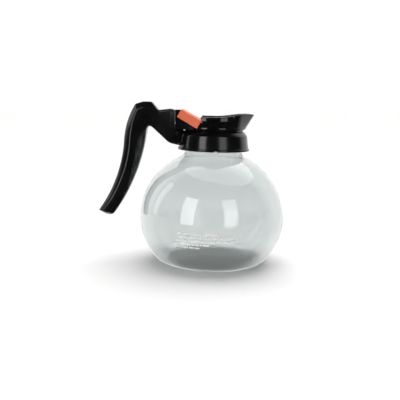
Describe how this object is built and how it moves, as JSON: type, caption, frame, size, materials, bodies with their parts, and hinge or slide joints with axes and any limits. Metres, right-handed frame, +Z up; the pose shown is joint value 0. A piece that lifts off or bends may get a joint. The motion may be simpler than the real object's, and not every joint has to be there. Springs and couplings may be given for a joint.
{
  "type": "glass coffee decanter",
  "caption": "Glass globe coffee decanter with a black moulded handle and collar, a black pour top with a spout, and an orange clip-on colour cap.",
  "frame": {"origin": "centre of the glass bowl's flat bottom, where the decanter stands", "axes": "+Z up along the bowl's axis, +X towards the spout, -X towards the handle"},
  "size_m": [0.211, 0.164, 0.18],
  "materials": {
    "glass": "clear polished borosilicate",
    "black_plastic": "glossy moulded black",
    "orange_plastic": "matte moulded orange",
    "steel": "brushed stainless",
    "silicone": "matte translucent grey silicone"
  },
  "bodies": {
    "decanter": {"glass_bowl": "glass", "handle": "black_plastic", "clamp_band": "steel", "clamp_screw": "steel", "clamp_washer": "steel", "clamp_nut": "steel", "neck_cushion": "silicone", "rim_gasket": "silicone"},
    "top": {"pour_top": "black_plastic", "plug_seal": "silicone"},
    "cap": {"colour_cap": "orange_plastic"}
  },
  "joints": [
    {"name": "top_lift", "type": "slide", "parent": "decanter", "child": "top", "axis": [0, 0, 1], "range_m": [0, 0.06]},
    {"name": "cap_pull", "type": "slide", "parent": "top", "child": "cap", "axis": [0.4695, 0, 0.8829], "range_m": [0, 0.03]}
  ]
}
